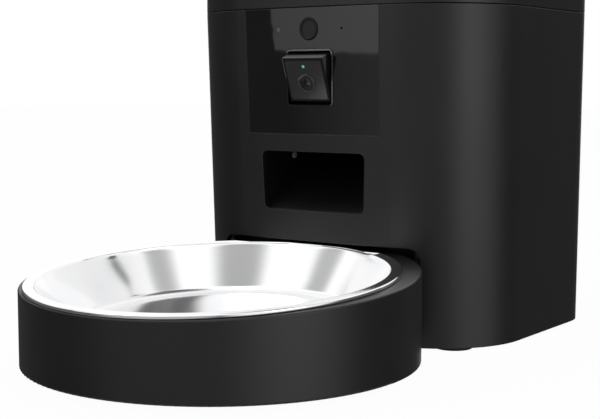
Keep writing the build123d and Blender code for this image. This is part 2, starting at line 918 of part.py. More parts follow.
def gear_face(teeth, centre_y, first_angle):
    """Spur gear outline with straight-flanked teeth, slimmed for backlash."""
    pitch_r = gear_module * teeth / 2
    tip_r = pitch_r + 0.9 * gear_module
    root_r = pitch_r - 1.2 * gear_module
    half_pitch = pi / (2 * teeth) - gear_backlash / (2 * pitch_r)
    flank = 0.36 * gear_module / pitch_r
    points = []
    for tooth in range(teeth):
        middle = radians(first_angle) + 2 * pi * tooth / teeth
        for radius, spread in (
            (root_r, -half_pitch - flank),
            (tip_r, -half_pitch + flank),
            (tip_r, half_pitch - flank),
            (root_r, half_pitch + flank),
        ):
            turn = middle + spread
            points.append((radius * cos(turn), centre_y + radius * sin(turn)))
    with BuildSketch(Plane.XY.offset(gear_low_z)) as outline:
        with BuildLine():
            Polyline(*points, close=True)
        make_face()
    return outline.sketch.face()


# Drive: a tooth of the large gear meets a space of the pinion on the line between their axes
with BuildPart() as drive_gear:
    extrude(gear_face(drive_teeth, rotor_axis_y, 90), amount=gear_t)
    add(rod_z(0, rotor_axis_y, shaft_r, gear_low_z - 1, gear_low_z + gear_t + 1), mode=Mode.SUBTRACT)
finish(drive_gear, "drive_gear")

with BuildPart() as pinion:
    extrude(gear_face(pinion_teeth, pinion_y, -90 + 180 / pinion_teeth), amount=gear_t)
    add(rod_z(0, pinion_y, motor_shaft_r, bracket_z - 4, gear_low_z + gear_t))
finish(pinion, "pinion")

# Bracket under the chamber: it holds the motor and the lower end of the shaft
with BuildPart() as gear_bracket:
    add(
        box_between(
            -bracket_post_x - 6,
            bracket_post_x + 6,
            rotor_axis_y - bracket_front_y - 5,
            rotor_axis_y + bracket_back_y + 5,
            bracket_z,
            bracket_z + bracket_t,
        )
    )
    fillet(gear_bracket.edges().filter_by(Axis.Z), 4)
    for place_x, place_y in posts:
        add(rod_z(place_x, place_y, bracket_post_r, bracket_z, cup_floor_z))
        add(rod_z(place_x, place_y, screw_r, bracket_z - 1, cup_floor_z + 1), mode=Mode.SUBTRACT)
    add(
        rod_z(0, rotor_axis_y, shaft_r + running_fit, bracket_z + bracket_t / 2, cup_floor_z),
        mode=Mode.SUBTRACT,
    )
    add(
        rod_z(0, pinion_y, motor_shaft_r + running_fit, bracket_z - 1, cup_floor_z),
        mode=Mode.SUBTRACT,
    )
finish(gear_bracket, "gear_bracket")

with BuildPart() as motor:
    add(rod_z(0, pinion_y, motor_r, bracket_z - motor_length, bracket_z))
    fillet(motor.edges().group_by(Axis.Z)[0], 1.5)
    add(rod_z(0, pinion_y, motor_shaft_r + running_fit, bracket_z - 4, bracket_z + 1), mode=Mode.SUBTRACT)
finish(motor, "motor")

# Rear cover: flush plate with a flange inside, speaker slots, inlet hole and battery opening
flange_front_y = back_y - wall - cover_lap_t
bay_half = (cell_count - 1) / 2 * cell_pitch + cell_r + 1
bay_low_z = edge_z + base_t
bay_high_z = bay_low_z + bay_wall + 2 * cell_r + 2
with BuildPart() as rear_cover:
    add(
        window_block(
            cover_width - 2 * fit, edge_z + base_t + fit, cover_top_z - fit, 4, back_y - wall, back_y
        )
    )
    add(
        window_block(
            cover_width + 2 * cover_lap,
            edge_z + base_t + fit,
            cover_top_z + cover_lap,
            4,
            flange_front_y,
            back_y - wall,
        )
    )
    add(
        window_block(
            door_width + 2 * door_clear,
            door_low_z - door_clear,
            door_high_z + door_clear,
            3,
            flange_front_y - 1,
            back_y + 1,
        ),
        mode=Mode.SUBTRACT,
    )
    with BuildSketch(facing(back_y + 1)):
        with Locations((0, speaker_z)):
            with GridLocations(slot_pitch, slot_length, slot_count, 1):
                SlotOverall(slot_length, slot_width, rotation=90)
    extrude(amount=2 * wall + cover_lap_t, mode=Mode.SUBTRACT, both=True)
    add(rod_y(inlet_x, inlet_z, inlet_r + fit, flange_front_y - 1, back_y + 1), mode=Mode.SUBTRACT)
    for side_x in (-1, 1):
        for side_z in (-1, 1):
            add(
                rod_y(
                    main_board_x + side_x * (main_board_width / 2 - 4),
                    main_board_z + side_z * (main_board_height / 2 - 4),
                    standoff_r,
                    flange_front_y - standoff_length,
                    flange_front_y,
                )
            )
    for place_x, place_z in rear_screws:
        boss_front_y = back_y - wall - rear_screw_length
        add(rod_y(place_x, place_z, rear_boss_r, boss_front_y, back_y - wall))
        add(rod_y(place_x, place_z, screw_r, boss_front_y, back_y), mode=Mode.SUBTRACT)
finish(rear_cover, "rear_cover")

with BuildPart() as speaker:
    add(rod_y(0, speaker_z, speaker_r, flange_front_y - speaker_t / 2, flange_front_y))
    add(rod_y(0, speaker_z, speaker_r * 0.55, flange_front_y - speaker_t, flange_front_y))
finish(speaker, "speaker")

with BuildPart() as main_board:
    with BuildSketch(facing(flange_front_y - standoff_length - board_t)):
        with Locations((main_board_x, main_board_z)):
            RectangleRounded(main_board_width, main_board_height, 2)
    extrude(amount=-board_t)
    for offset_x, size in ((-16, 12), (6, 9)):
        with BuildSketch(facing(flange_front_y - standoff_length - board_t)):
            with Locations((main_board_x + offset_x, main_board_z)):
                Rectangle(size, size)
        extrude(amount=1.2)
finish(main_board, "main_board")

with BuildPart() as power_inlet:
    add(rod_y(inlet_x, inlet_z, inlet_r, back_y - inlet_length, back_y))
    add(rod_y(inlet_x, inlet_z, inlet_r + 2, back_y - inlet_length, flange_front_y))
    add(rod_y(inlet_x, inlet_z, inlet_bore_r, back_y - inlet_length + 3, back_y + 1), mode=Mode.SUBTRACT)
    add(rod_y(inlet_x, inlet_z, inlet_bore_r / 3, back_y - inlet_length, back_y - 2))
finish(power_inlet, "power_inlet")

# Battery bay on the base plate, open towards the door
bay_back_y = flange_front_y - gap
bay_front_y = bay_back_y - cell_length - 2 * contact_t - bay_wall - 1
cell_z = bay_low_z + bay_wall + cell_r
cell_xs = [(index - (cell_count - 1) / 2) * cell_pitch for index in range(cell_count)]
with BuildPart() as battery_box:
    add(
        box_between(
            -bay_half - bay_wall, bay_half + bay_wall, bay_front_y, bay_back_y, bay_low_z, bay_high_z
        )
    )
    add(
        box_between(
            -bay_half,
            bay_half,
            bay_front_y + bay_wall,
            bay_back_y + 1,
            bay_low_z + bay_wall,
            bay_high_z + 1,
        ),
        mode=Mode.SUBTRACT,
    )
finish(battery_box, "battery_box")

with BuildPart() as battery_contacts:
    for cell_x in cell_xs:
        add(
            box_between(
                cell_x - contact_width / 2,
                cell_x + contact_width / 2,
                bay_front_y + bay_wall,
                bay_front_y + bay_wall + contact_t,
                bay_low_z + bay_wall,
                cell_z + contact_width / 2,
            )
        )
finish(battery_contacts, "battery_contacts")

with BuildPart() as battery_cells:
    cell_front_y = bay_front_y + bay_wall + contact_t
    for cell_x in cell_xs:
        add(rod_y(cell_x, cell_z, 5.0, cell_front_y, cell_front_y + 1.5))
        add(rod_y(cell_x, cell_z, cell_r, cell_front_y + 1.5, cell_front_y + cell_length))
finish(battery_cells, "battery_cells")

# Battery door, flush with the cover, with a finger pull
with BuildPart() as battery_door:
    add(window_block(door_width, door_low_z, door_high_z, 3, back_y - door_t, back_y))
    with BuildSketch(facing(back_y + 1)):
        with Locations((0, (door_low_z + door_high_z) / 2)):
            SlotOverall(door_pull_length, door_pull_height)
    extrude(amount=2.2, mode=Mode.SUBTRACT)
finish(battery_door, "battery_door")

# Hopper shell with its floor inside the lip of the housing, and the two outer hinge knuckles
knuckle_x = lid_knuckle_width / 2 + gap + knuckle_width / 2
with BuildPart() as hopper_shell:
    add(body_form(seam_z + seam_gap, hopper_top_z))
    add(body_form(hopper_floor_top_z, hopper_top_z, hopper_wall), mode=Mode.SUBTRACT)
    add(
        body_form(hopper_top_z - tank_flange_t, hopper_top_z, tank_flange_inset - fit),
        mode=Mode.SUBTRACT,
    )
    extrude(
        plan(seam_z, wall + gap).moved(Location((0, 0, hopper_floor_z - seam_z))),
        amount=hopper_floor_t,
    )
    add(
        rod_z(0, rotor_axis_y, throat_r + tank_wall + gap, hopper_floor_z - 1, hopper_floor_top_z + 1),
        mode=Mode.SUBTRACT,
    )
    for side in (-1, 1):
        with BuildSketch(Plane.YZ.offset(side * knuckle_x)):
            with BuildLine():
                Polyline(
                    (back_y - 1, lid_z - 3 * knuckle_r),
                    (hinge_y + knuckle_r, lid_z - knuckle_r / 2),
                    (hinge_y + knuckle_r, lid_z),
                    (back_y + fit, lid_z),
                    (back_y + fit, lid_z - 2 * gap),
                    (back_y - 1, lid_z - 2 * gap),
                    close=True,
                )
            make_face()
            with Locations((hinge_y, lid_z)):
                Circle(knuckle_r)
        extrude(amount=knuckle_width / 2, both=True)
    with BuildSketch(Plane.YZ):
        with Locations((hinge_y, lid_z)):
            Circle(hinge_pin_r + running_fit)
    extrude(amount=body_width, both=True, mode=Mode.SUBTRACT)
finish(hopper_shell, "hopper_shell")


def tank_form(wall_in, low_z, throat):
    """Inside or outside of the tank: a box above, a cone below it and a round throat."""
    rise_r = body_width + (hopper_top_z - funnel_z) / funnel_slope
    with BuildPart() as form:
        with BuildSketch(Plane(origin=(0, rotor_axis_y, 0), x_dir=(1, 0, 0), z_dir=(0, -1, 0))):
            with BuildLine():
                Polyline(
                    (0, funnel_z),
                    (throat, funnel_z),
                    (throat + rise_r, funnel_z + rise_r * funnel_slope),
                    (0, funnel_z + rise_r * funnel_slope),
                    close=True,
                )
            make_face()
        revolve(axis=Axis((0, rotor_axis_y, 0), (0, 0, 1)))
        add(body_form(seam_z, hopper_top_z, tank_inset + wall_in), mode=Mode.INTERSECT)
        add(rod_z(0, rotor_axis_y, throat, low_z, funnel_z + 1))
    return form.part


# Food tank, welded from three mouldings: a wall with a flange in the shell's rebate, a funnel and its throat
with BuildPart() as whole_tank:
    add(tank_form(0.0, throat_low_z, throat_r + tank_wall))
    add(body_form(hopper_top_z - tank_flange_t, hopper_top_z, tank_flange_inset))
    add(tank_form(tank_wall, throat_low_z - 1, throat_r), mode=Mode.SUBTRACT)
    add(
        body_form(hopper_top_z - 2 * tank_flange_t, hopper_top_z, tank_inset + tank_wall),
        mode=Mode.SUBTRACT,
    )

with BuildPart() as food_tank:
    add(whole_tank.part)
    split(bisect_by=Plane.XY.offset(funnel_top_z), keep=Keep.TOP)
finish(food_tank, "food_tank")

with BuildPart() as tank_funnel:
    add(whole_tank.part)
    split(bisect_by=Plane.XY.offset(funnel_top_z), keep=Keep.BOTTOM)
    split(bisect_by=Plane.XY.offset(funnel_z), keep=Keep.TOP)
finish(tank_funnel, "tank_funnel")

with BuildPart() as tank_throat:
    add(whole_tank.part)
    split(bisect_by=Plane.XY.offset(funnel_z), keep=Keep.BOTTOM)
finish(tank_throat, "tank_throat")

# Lid with a plug that enters the tank, and the middle knuckle of the hinge
plug_inset = tank_inset + tank_wall + plug_clear
with BuildPart() as lid:
    extrude(plan(seam_z).moved(Location((0, 0, lid_z - seam_z))), amount=lid_t)
    fillet(lid.edges().group_by(Axis.Z)[-1], lid_edge)
    extrude(
        plan(seam_z, lid_edge).moved(Location((0, 0, lid_z - seam_z))),
        amount=lid_t - lid_skin,
        mode=Mode.SUBTRACT,
    )
    extrude(
        plan(seam_z, plug_inset).moved(Location((0, 0, lid_z - plug_depth - seam_z))),
        amount=plug_depth + lid_t - lid_skin,
    )
    extrude(
        plan(seam_z, plug_inset + plug_wall).moved(Location((0, 0, lid_z - plug_depth - seam_z))),
        amount=plug_depth + lid_t - lid_skin,
        mode=Mode.SUBTRACT,
    )
    with BuildSketch(Plane.YZ):
        with BuildLine():
            Polyline(
                (back_y - 2, lid_z),
                (hinge_y, lid_z),
                (hinge_y, lid_z + knuckle_r),
                (back_y - 2, lid_z + knuckle_r),
                close=True,
            )
        make_face()
        with Locations((hinge_y, lid_z)):
            Circle(knuckle_r)
    extrude(amount=lid_knuckle_width / 2, both=True)
    with BuildSketch(Plane.YZ):
        with Locations((hinge_y, lid_z)):
            Circle(hinge_pin_r + running_fit)
    extrude(amount=body_width, both=True, mode=Mode.SUBTRACT)
finish(lid, "lid")

with BuildPart() as lid_seal:
    extrude(
        plan(seam_z, plug_inset - seal_t).moved(Location((0, 0, lid_z - plug_depth + 1 - seam_z))),
        amount=seal_height,
    )
    extrude(
        plan(seam_z, plug_inset).moved(Location((0, 0, lid_z - plug_depth + 1 - seam_z))),
        amount=seal_height,
        mode=Mode.SUBTRACT,
    )
finish(lid_seal, "lid_seal")

with BuildPart() as hinge_pin:
    pin_half = knuckle_x + knuckle_width / 2
    with BuildSketch(Plane.YZ.offset(-pin_half)):
        with Locations((hinge_y, lid_z)):
            Circle(hinge_pin_r)
    extrude(amount=2 * pin_half)
finish(hinge_pin, "hinge_pin")

# Desiccant holder under the lid
dry_top_z = lid_z + lid_t - lid_skin
dry_low_z = dry_top_z - cup_dry_depth
with BuildPart() as desiccant_cup:
    add(rod_z(0, rotor_axis_y, cup_dry_r, dry_low_z, dry_top_z))
    add(
        rod_z(0, rotor_axis_y, cup_dry_r - cup_dry_wall, dry_low_z - 1, dry_top_z - cup_dry_wall),
        mode=Mode.SUBTRACT,
    )
finish(desiccant_cup, "desiccant_cup")

with BuildPart() as desiccant_pack:
    pack_r = cup_dry_r - cup_dry_wall - 1
    add(rod_z(0, rotor_axis_y, pack_r, dry_top_z - cup_dry_wall - dry_pack_t, dry_top_z - cup_dry_wall))
    fillet(desiccant_pack.edges(), dry_pack_t / 4)
finish(desiccant_pack, "desiccant_pack")

with BuildPart() as desiccant_cover:
    add(rod_z(0, rotor_axis_y, cup_dry_r, dry_low_z - dry_cover_t - gap, dry_low_z - gap))
    plug_r = cup_dry_r - cup_dry_wall - gap
    add(rod_z(0, rotor_axis_y, plug_r, dry_low_z - gap, dry_low_z + 3))
    add(rod_z(0, rotor_axis_y, plug_r - 1.6, dry_low_z - gap, dry_low_z + 4), mode=Mode.SUBTRACT)
    with BuildSketch(Plane.XY.offset(dry_low_z - 2 * dry_cover_t)):
        with Locations((0, rotor_axis_y)):
            with PolarLocations(plug_r * 0.6, dry_slot_count):
                SlotOverall(plug_r * 0.5, 3)
    extrude(amount=4 * dry_cover_t, mode=Mode.SUBTRACT)
finish(desiccant_cover, "desiccant_cover")

# Bowl tray: an upright skirt under a deck that slopes up to the back, with a well for the bowl
tray_plane = Plane(origin=(0, tray_y, tray_top_z), x_dir=(1, 0, 0), z_dir=(0, -tray_slope, 1))
bowl_y = tray_y + bowl_back
with BuildPart() as tray_hollow:
    add(rod_z(0, tray_y, tray_r - tray_skirt, tray_edge_z - 1, tray_top_z + tray_r))
    split(bisect_by=tray_plane.offset(-tray_deck), keep=Keep.BOTTOM)
    well_bottom_z = well_floor_z - well_wall
    add(
        rod_z(0, bowl_y, well_r + well_wall, well_bottom_z, tray_top_z + tray_r),
        mode=Mode.SUBTRACT,
    )
    for step in range(pad_count):
        turn = 2 * pi * (step + 0.5) / pad_count
        add(
            rod_z(
                pad_ring_r * cos(turn), tray_y + pad_ring_r * sin(turn), pad_r + 1, 0, tray_top_z
            ),
            mode=Mode.SUBTRACT,
        )
with BuildPart() as bowl_tray:
    add(rod_z(0, tray_y, tray_r, tray_edge_z, tray_top_z + tray_r))
    split(bisect_by=tray_plane, keep=Keep.BOTTOM)
    fillet(bowl_tray.edges().filter_by(GeomType.CIRCLE).sort_by(Axis.Z)[0], 1.0)
    fillet(bowl_tray.edges().filter_by(GeomType.ELLIPSE), 0.8)
    add(tray_hollow.part, mode=Mode.SUBTRACT)
    add(rod_z(0, bowl_y, well_r, well_floor_z, tray_top_z + tray_r), mode=Mode.SUBTRACT)
    tongue_top_z = edge_z + base_t + tongue_t
    add(
        box_between(
            -tongue_width / 2 - tongue_clear,
            tongue_width / 2 + tongue_clear,
            tray_y + tray_r / 2,
            tray_y + tray_r + 1,
            0,
            tongue_top_z + tongue_clear,
        ),
        mode=Mode.SUBTRACT,
    )
finish(bowl_tray, "bowl_tray")

with BuildPart() as tray_pads:
    for step in range(pad_count):
        turn = 2 * pi * (step + 0.5) / pad_count
        add(rod_z(pad_ring_r * cos(turn), tray_y + pad_ring_r * sin(turn), pad_r, 0, tray_edge_z))
finish(tray_pads, "tray_pads")

# Bowl, spun from sheet: flat floor, bent into a sloping wall, with a flat rim just above the tray
# The rim's outer edge is folded down into a hem, which rests on the tray
bowl_up = (0, -tray_slope, 1)
bowl_origin = (0, bowl_y, tray_top_z + tray_slope * bowl_back)
bowl_profile = Plane(origin=bowl_origin, x_dir=(1, 0, 0), z_dir=(0, -1, -tray_slope))


def bowl_solid(sheet, top_h):
    """Solid of revolution inside the bowl's inner face, or with a sheet's thickness inside its outer one."""
    with BuildPart() as form:
        with BuildSketch(bowl_profile) as section:
            with BuildLine():
                Polyline(
                    (0, top_h),
                    (0, -bowl_depth - sheet),
                    (bowl_floor_r + sheet / 2, -bowl_depth - sheet),
                    (bowl_mouth_r + sheet, rim_mouth_h - bowl_sheet),
                    (bowl_mouth_r + sheet, top_h),
                    close=True,
                )
            make_face()
            low_corners = section.vertices().sort_by(Axis.Y)[:2]
            fillet(low_corners.sort_by(Axis.X)[-1], bowl_bend + sheet)
        revolve(axis=Axis(bowl_origin, bowl_up))
    return form.part


with BuildPart() as steel_bowl:
    add(bowl_solid(bowl_sheet, rim_mouth_h - bowl_sheet + fit))
    with BuildSketch(bowl_profile) as rim_section:
        with BuildLine():
            Polyline(
                (bowl_mouth_r, rim_mouth_h),
                (bowl_r, rim_edge_h),
                (bowl_r, 0),
                (bowl_r - rim_hem_width, 0),
                (bowl_r - rim_hem_width, rim_edge_h - bowl_sheet),
                (bowl_mouth_r, rim_mouth_h - bowl_sheet),
                close=True,
            )
        make_face()
        rim_corners = rim_section.vertices()
        mouth_corner = rim_corners.sort_by(Axis.Y)[-1]
        fillet([mouth_corner, *rim_corners.sort_by(Axis.X)[-2:]], rim_round)
    revolve(axis=Axis(bowl_origin, bowl_up))
    add(bowl_solid(0.0, 2 * bowl_depth), mode=Mode.SUBTRACT)
finish(steel_bowl, "steel_bowl")

# Screws: four under the base and four in the back wall, then four through the bracket's posts
with BuildPart() as housing_screws:
    for place_x, place_y in base_screws:
        add(rod_z(place_x, place_y, screw_head_r, edge_z, edge_z + screw_head_t))
        add(rod_z(place_x, place_y, screw_r, edge_z, edge_z + base_t + screw_length))
    for place_x, place_z in rear_screws:
        add(rod_y(place_x, place_z, screw_head_r, back_y - screw_head_t, back_y))
        add(rod_y(place_x, place_z, screw_r, back_y - wall - rear_screw_length, back_y))
finish(housing_screws, "housing_screws")

with BuildPart() as bracket_screws:
    for place_x, place_y in posts:
        add(rod_z(place_x, place_y, screw_head_r, bracket_z - screw_head_t, bracket_z))
        add(rod_z(place_x, place_y, screw_r, bracket_z, cup_floor_z + cup_floor_t / 2))
finish(bracket_screws, "bracket_screws")
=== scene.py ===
from math import atan, atan2, cos, degrees, pi, radians, sin, tan

import bpy
from mathutils import Matrix, Vector


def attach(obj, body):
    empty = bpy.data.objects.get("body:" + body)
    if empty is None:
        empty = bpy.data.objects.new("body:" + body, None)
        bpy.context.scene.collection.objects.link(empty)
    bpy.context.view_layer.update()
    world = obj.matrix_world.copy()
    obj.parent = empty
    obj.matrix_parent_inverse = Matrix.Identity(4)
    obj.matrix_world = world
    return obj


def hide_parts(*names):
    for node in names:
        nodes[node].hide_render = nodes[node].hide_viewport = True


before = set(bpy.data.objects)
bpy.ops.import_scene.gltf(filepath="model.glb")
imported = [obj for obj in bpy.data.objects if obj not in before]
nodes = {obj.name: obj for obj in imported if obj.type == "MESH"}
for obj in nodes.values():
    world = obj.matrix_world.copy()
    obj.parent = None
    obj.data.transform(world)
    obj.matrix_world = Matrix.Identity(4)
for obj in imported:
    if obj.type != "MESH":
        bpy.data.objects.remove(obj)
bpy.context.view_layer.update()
scene = bpy.context.scene

MM_PER_M = 1000.0


# Camera

def add_camera():
    """A camera at the photograph's viewpoint."""
    pitch_down, turn_left = 0.0968, 0.6176
    camera_data = bpy.data.cameras.new("camera")
    camera_data.lens = 76.87
    camera_data.sensor_width = 36.0
    camera_data.clip_start = 0.01
    camera = bpy.data.objects.new("camera", camera_data)
    camera.location = (0.38015, -0.54089, 0.13342)
    camera.rotation_euler = (pi / 2 - pitch_down, 0, turn_left)
    scene.collection.objects.link(camera)
    scene.camera = camera


add_camera()


# Shader nodes

def new_material(name):
    material = bpy.data.materials.new(name)
    material.use_nodes = True
    tree = material.node_tree
    return material, tree, tree.nodes["Principled BSDF"]


def node(tree, kind, **values):
    """A shader node, with values for its inputs or its settings."""
    item = tree.nodes.new("ShaderNode" + kind)
    for key, value in values.items():
        if key in item.inputs:
            item.inputs[key].default_value = value
        else:
            setattr(item, key, value)
    return item


def figure(tree, operation, first, second):
    """Arithmetic on two values, each a number or a socket."""
    item = node(tree, "Math", operation=operation)
    for socket, value in zip(item.inputs, (first, second)):
        if isinstance(value, float):
            socket.default_value = value
        else:
            tree.links.new(value, socket)
    return item.outputs[0]


def brighter(tree, first, second):
    """The brighter of two values."""
    return figure(tree, "MAXIMUM", first, second)


def ramp(tree, value, start, end, low=0.0, high=1.0, kind="LINEAR"):
    """A value mapped from start and end to low and high, and held beyond them."""
    item = node(tree, "MapRange", interpolation_type=kind)
    for key, number in (("From Min", start), ("From Max", end), ("To Min", low), ("To Max", high)):
        item.inputs[key].default_value = number
    tree.links.new(value, item.inputs["Value"])
    return item.outputs["Result"]


def spread(tree, value, low, high):
    """A value mapped from 0.3 and 0.7, where most noise lies, to low and high."""
    return ramp(tree, value, 0.3, 0.7, low, high)


def tint(tree, value, dark, light):
    """A colour between dark and light."""
    first_colour, second_colour, mixed_colour = 6, 7, 2
    mix = node(tree, "Mix", data_type="RGBA")
    mix.inputs[first_colour].default_value = (*dark, 1)
    mix.inputs[second_colour].default_value = (*light, 1)
    tree.links.new(value, mix.inputs["Factor"])
    return mix.outputs[mixed_colour]


def object_noise(tree, scale, detail=3.0, stretch=(1, 1, 1)):
    """Noise in the piece's own frame, so that it stays put when the piece moves."""
    coords = node(tree, "TexCoord")
    mapping = node(tree, "Mapping", Scale=stretch)
    noise = node(tree, "TexNoise", Scale=scale, Detail=detail)
    tree.links.new(coords.outputs["Object"], mapping.inputs["Vector"])
    tree.links.new(mapping.outputs["Vector"], noise.inputs["Vector"])
    return noise.outputs["Fac"]


def grain_surface(tree, shader, height, strength, edge):
    """A fine grain over edges that are rounded by edge."""
    round_edge = node(tree, "Bevel", Radius=edge, samples=4)
    surface = node(tree, "Bump", Strength=strength, Distance=0.0002)
    tree.links.new(height, surface.inputs["Height"])
    tree.links.new(round_edge.outputs["Normal"], surface.inputs["Normal"])
    tree.links.new(surface.outputs["Normal"], shader.inputs["Normal"])


# Materials

def plastic(name, colour, rough, level=0.5, grain=2600.0, bump=0.04, edge=0.0004, bend=1.5):
    """Moulded plastic: a fine spark-eroded grain, slow drift in colour and gloss, and rounded edges."""
    vary_colour, vary_gloss = 0.12, 0.07
    material, tree, shader = new_material(name)
    slow = object_noise(tree, 22.0, 4.0)
    dark = [c * (1 - vary_colour) for c in colour]
    light = [c * (1 + vary_colour) for c in colour]
    tree.links.new(tint(tree, spread(tree, slow, 0, 1), dark, light), shader.inputs["Base Color"])
    gloss = spread(tree, slow, rough * (1 - vary_gloss), rough * (1 + vary_gloss))
    tree.links.new(gloss, shader.inputs["Roughness"])
    shader.inputs["Specular IOR Level"].default_value = level
    shader.inputs["IOR"].default_value = bend
    grain_surface(tree, shader, object_noise(tree, grain, 2.0), bump, edge)
    return material


def metal(name, colour, rough, stretch=(1, 1, 1), scale=900.0):
    """Metal with fine tool or brushing marks along one direction."""
    material, tree, shader = new_material(name)
    marks = object_noise(tree, scale, 3.0, stretch)
    dark = [c * 0.93 for c in colour]
    tree.links.new(tint(tree, spread(tree, marks, 0, 1), dark, colour), shader.inputs["Base Color"])
    tree.links.new(spread(tree, marks, rough * 0.8, rough * 1.25), shader.inputs["Roughness"])
    shader.inputs["Metallic"].default_value = 1.0
    grain_surface(tree, shader, marks, 0.05, 0.0003)
    return material


def mirror_steel():
    """Spun and polished steel: a mirror with faint turning rings, a slow waviness and a smoother rim."""
    well_r, rim_r = 0.0815, 0.0835
    well_rough, rim_rough = 0.13, 0.06
    material, tree, shader = new_material("mirror_steel")
    shader.inputs["Metallic"].default_value = 1.0
    centre = node(tree, "Mapping", Location=(0, 0.07605, 0))
    tree.links.new(node(tree, "TexCoord").outputs["Object"], centre.inputs["Vector"])
    slow = object_noise(tree, 26.0, 2.0)
    colour = tint(tree, spread(tree, slow, 0, 1), (0.86, 0.865, 0.88), (0.93, 0.93, 0.93))
    tree.links.new(colour, shader.inputs["Base Color"])
    flat = node(tree, "VectorMath", operation="MULTIPLY")
    flat.inputs[1].default_value = (1, 1, 0)
    tree.links.new(centre.outputs["Vector"], flat.inputs[0])
    radius = node(tree, "VectorMath", operation="LENGTH")
    tree.links.new(flat.outputs["Vector"], radius.inputs[0])
    polish = ramp(tree, radius.outputs["Value"], well_r, rim_r, well_rough, rim_rough)
    tree.links.new(polish, shader.inputs["Roughness"])
    rings = node(tree, "TexWave", wave_type="RINGS", rings_direction="Z", Scale=260.0, Distortion=1.5)
    tree.links.new(centre.outputs["Vector"], rings.inputs["Vector"])
    wave = node(tree, "Bump", Strength=0.08, Distance=0.001)
    tree.links.new(slow, wave.inputs["Height"])
    ring_bump = node(tree, "Bump", Strength=0.02, Distance=0.0001)
    tree.links.new(rings.outputs["Fac"], ring_bump.inputs["Height"])
    tree.links.new(wave.outputs["Normal"], ring_bump.inputs["Normal"])
    tree.links.new(ring_bump.outputs["Normal"], shader.inputs["Normal"])
    return material


def painted_highlight_bezel():
    """Dark chrome with a painted highlight: its colour is lighter along the top and the right side."""
    top_from, top_to = 0.1495, 0.1512
    right_from, right_to = 0.0128, 0.0138
    material, tree, shader = new_material("dark_chrome_painted_highlight")
    place = node(tree, "SeparateXYZ")
    tree.links.new(node(tree, "TexCoord").outputs["Object"], place.inputs[0])
    # Masks of the painted highlight along the top and the right edge
    top = ramp(tree, place.outputs["Z"], top_from, top_to)
    right = ramp(tree, place.outputs["X"], right_from, right_to)
    # Painted highlight: the chrome's colour is lighter where the top and right masks rise
    colour = tint(tree, brighter(tree, top, right), (0.035, 0.035, 0.035), (0.2, 0.2, 0.205))
    tree.links.new(colour, shader.inputs["Base Color"])
    marks = object_noise(tree, 700.0, 3.0, (1, 1, 6))
    tree.links.new(spread(tree, marks, 0.2, 0.3), shader.inputs["Roughness"])
    shader.inputs["Metallic"].default_value = 1.0
    round_edge = node(tree, "Bevel", Radius=0.00015, samples=4)
    tree.links.new(round_edge.outputs["Normal"], shader.inputs["Normal"])
    return material


def lens_coating():
    """Coated lens glass: near black, with a violet and green sheen in its reflections and a painted violet
    sheen in its colour, both drifting from middle to edge.
    """
    material, tree, shader = new_material("lens_coating")
    facing = node(tree, "LayerWeight", Blend=0.35).outputs["Facing"]
    # Painted sheen: the base colour turns a little violet where the view grazes the glass
    colour = tint(tree, facing, (0.012, 0.013, 0.018), (0.02, 0.014, 0.022))
    tree.links.new(colour, shader.inputs["Base Color"])
    sheen = tint(tree, facing, (0.9, 0.8, 0.95), (0.6, 1.0, 0.85))
    tree.links.new(sheen, shader.inputs["Specular Tint"])
    tree.links.new(spread(tree, object_noise(tree, 500.0), 0.02, 0.05), shader.inputs["Roughness"])
    shader.inputs["Specular IOR Level"].default_value = 0.5
    shader.inputs["Coat Weight"].default_value = 0.3
    return material


def lit_lens(name, colour, strength):
    """A lit indicator: brighter in its middle, falling off towards the rim."""
    material, tree, shader = new_material(name)
    facing = node(tree, "LayerWeight", Blend=0.5).outputs["Facing"]
    glow = tint(tree, facing, colour, [c * 0.35 for c in colour])
    tree.links.new(glow, shader.inputs["Emission Color"])
    shade = tint(tree, object_noise(tree, 900.0), [c * 0.3 for c in colour], [c * 0.5 for c in colour])
    tree.links.new(shade, shader.inputs["Base Color"])
    shader.inputs["Emission Strength"].default_value = strength
    return material


def circuit_board():
    """Solder mask over fine copper traces."""
    material, tree, shader = new_material("circuit_board")
    bricks = node(tree, "TexBrick", Scale=240.0)
    bricks.inputs["Color1"].default_value = (0.01, 0.09, 0.04, 1)
    bricks.inputs["Color2"].default_value = (0.014, 0.11, 0.05, 1)
    bricks.inputs["Mortar"].default_value = (0.02, 0.17, 0.07, 1)
    bricks.inputs["Mortar Size"].default_value = 0.08
    upright = node(tree, "Mapping", Rotation=(pi / 2, 0, 0))
    tree.links.new(node(tree, "TexCoord").outputs["Object"], upright.inputs["Vector"])
    tree.links.new(upright.outputs["Vector"], bricks.inputs["Vector"])
    tree.links.new(bricks.outputs["Color"], shader.inputs["Base Color"])
    tree.links.new(spread(tree, bricks.outputs["Fac"], 0.28, 0.36), shader.inputs["Roughness"])
    return material


body_black = plastic("body_black", (0.0038, 0.0038, 0.004), 0.4, bump=0.05, edge=0.0006)
inner_black = plastic("inner_black", (0.012, 0.012, 0.0125), 0.5, level=0.3, bump=0.06)
chute_black = plastic("chute_black", (0.005, 0.005, 0.0053), 0.42, level=0.3)
panel_black = plastic("panel_black", (0.006, 0.006, 0.0065), 0.03, bump=0.004, edge=0.0003)
glass_black = plastic("glass_black", (0.024, 0.024, 0.0246), 0.16, bump=0.004, edge=0.00006)
head_black = plastic(
    "head_black", (0.006, 0.006, 0.0063), 0.3, level=0.4, bump=0.01, edge=0.00015, bend=1.24,
)
button_black = plastic("button_black", (0.008, 0.008, 0.0084), 0.42, level=0.36, bump=0.02)
ring_black = plastic("ring_black", (0.003, 0.003, 0.0031), 0.55, level=0.3, bump=0.03, edge=0.0001)
rubber_black = plastic("rubber_black", (0.014, 0.014, 0.0145), 0.75, level=0.3, grain=1400.0, bump=0.15)
